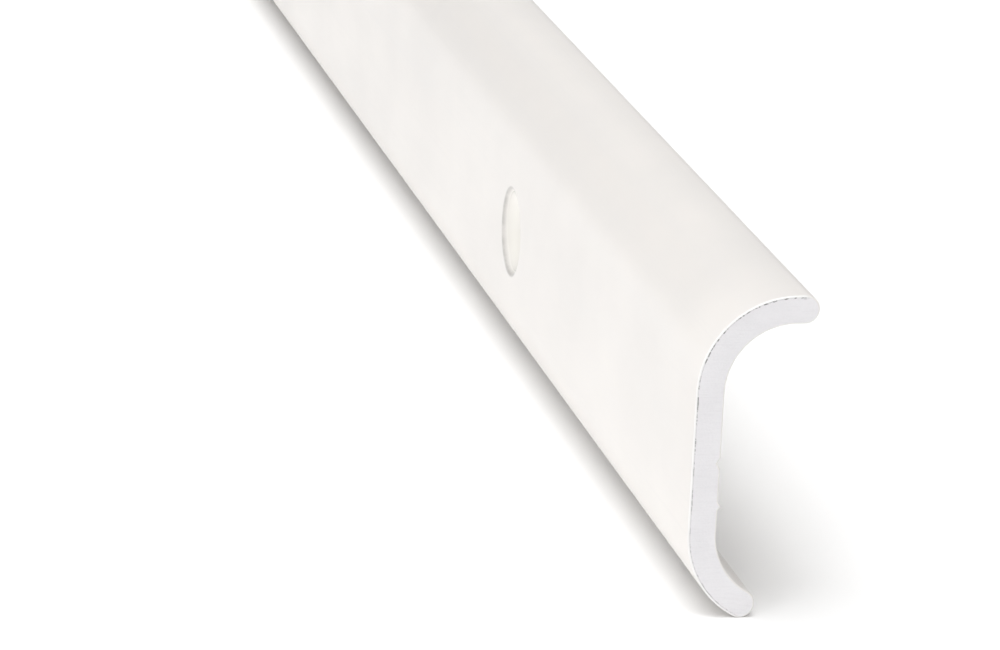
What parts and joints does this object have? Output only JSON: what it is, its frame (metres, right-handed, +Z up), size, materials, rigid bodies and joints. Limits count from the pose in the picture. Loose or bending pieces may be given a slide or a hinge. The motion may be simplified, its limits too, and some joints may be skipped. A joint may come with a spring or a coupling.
{
  "type": "door sweep",
  "caption": "Painted aluminium strip of C-shaped section that closes the edge of a door leaf, held by flat-head screws in countersunk holes along its flat web.",
  "frame": {"origin": "centre of the open screw hole, on the inner face of the web, where the drilled hole ends", "axes": "+X along the strip towards the cut end beside the open hole, +Z up towards the longer lip, -Y out of the outer face"},
  "size_m": [0.6096, 0.019, 0.0286],
  "materials": {
    "white_paint": "satin white paint on extruded aluminium; the cut ends are bare and sawn",
    "screw_steel": "zinc-plated steel, with the head painted white to match the strip"
  },
  "bodies": {
    "root": {"sweep_rail": "white_paint", "mounting_screw_2": "screw_steel", "mounting_screw_3": "screw_steel", "mounting_screw_4": "screw_steel"}
  },
  "joints": []
}
